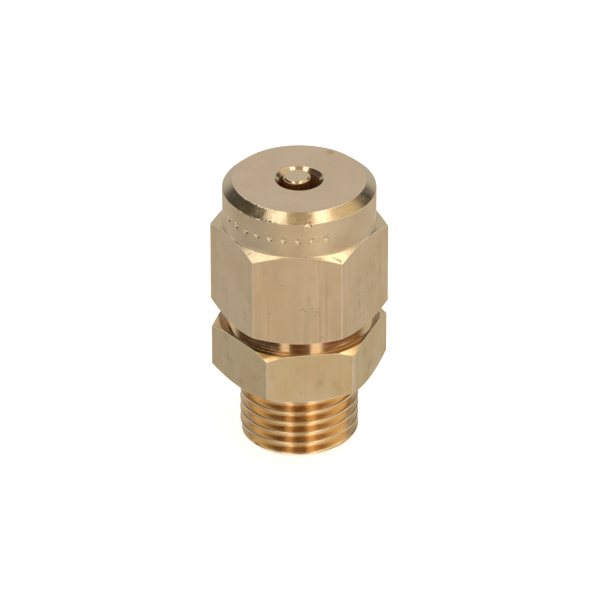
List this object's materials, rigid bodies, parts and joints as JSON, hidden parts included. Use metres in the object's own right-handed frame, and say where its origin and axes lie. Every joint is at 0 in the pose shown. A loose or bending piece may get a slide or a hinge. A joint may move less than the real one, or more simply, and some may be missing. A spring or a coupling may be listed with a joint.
{
  "type": "boiler anti-vacuum valve",
  "caption": "Brass anti-vacuum valve for a small boiler: threaded hexagon body, hexagon cap with a vent hole, and a loose plunger whose pin shows in the vent.",
  "frame": {"origin": "centre of the thread's end face, on the valve's axis", "axes": "+Z along the valve's axis from the threaded end to the vent; a flat of the body's hexagon faces -Y; +X through that hexagon's corner"},
  "size_m": [0.0196, 0.0184, 0.0324],
  "materials": {
    "bar_brass": "drawn and turned brass, lightly dulled, satin",
    "cap_brass": "drawn and turned brass, lightly dulled, satin",
    "turned_brass": "fine turned brass",
    "soft_gasket": "soft copper alloy ring, turned edge",
    "spring_steel": "plain stainless spring steel",
    "black_seal": "matte moulded rubber"
  },
  "bodies": {
    "valve": {"valve_body": "bar_brass", "cap": "cap_brass", "cap_gasket": "soft_gasket", "guide_bush": "turned_brass", "bush_retaining_ring": "spring_steel"},
    "plunger_group": {"plunger": "turned_brass", "seal_disc": "black_seal", "seal_washer": "spring_steel", "seal_snap_ring": "spring_steel"}
  },
  "joints": [
    {"name": "plunger_lift", "type": "slide", "parent": "valve", "child": "plunger_group", "axis": [0, 0, 1], "range_m": [0, 0.0022]}
  ]
}
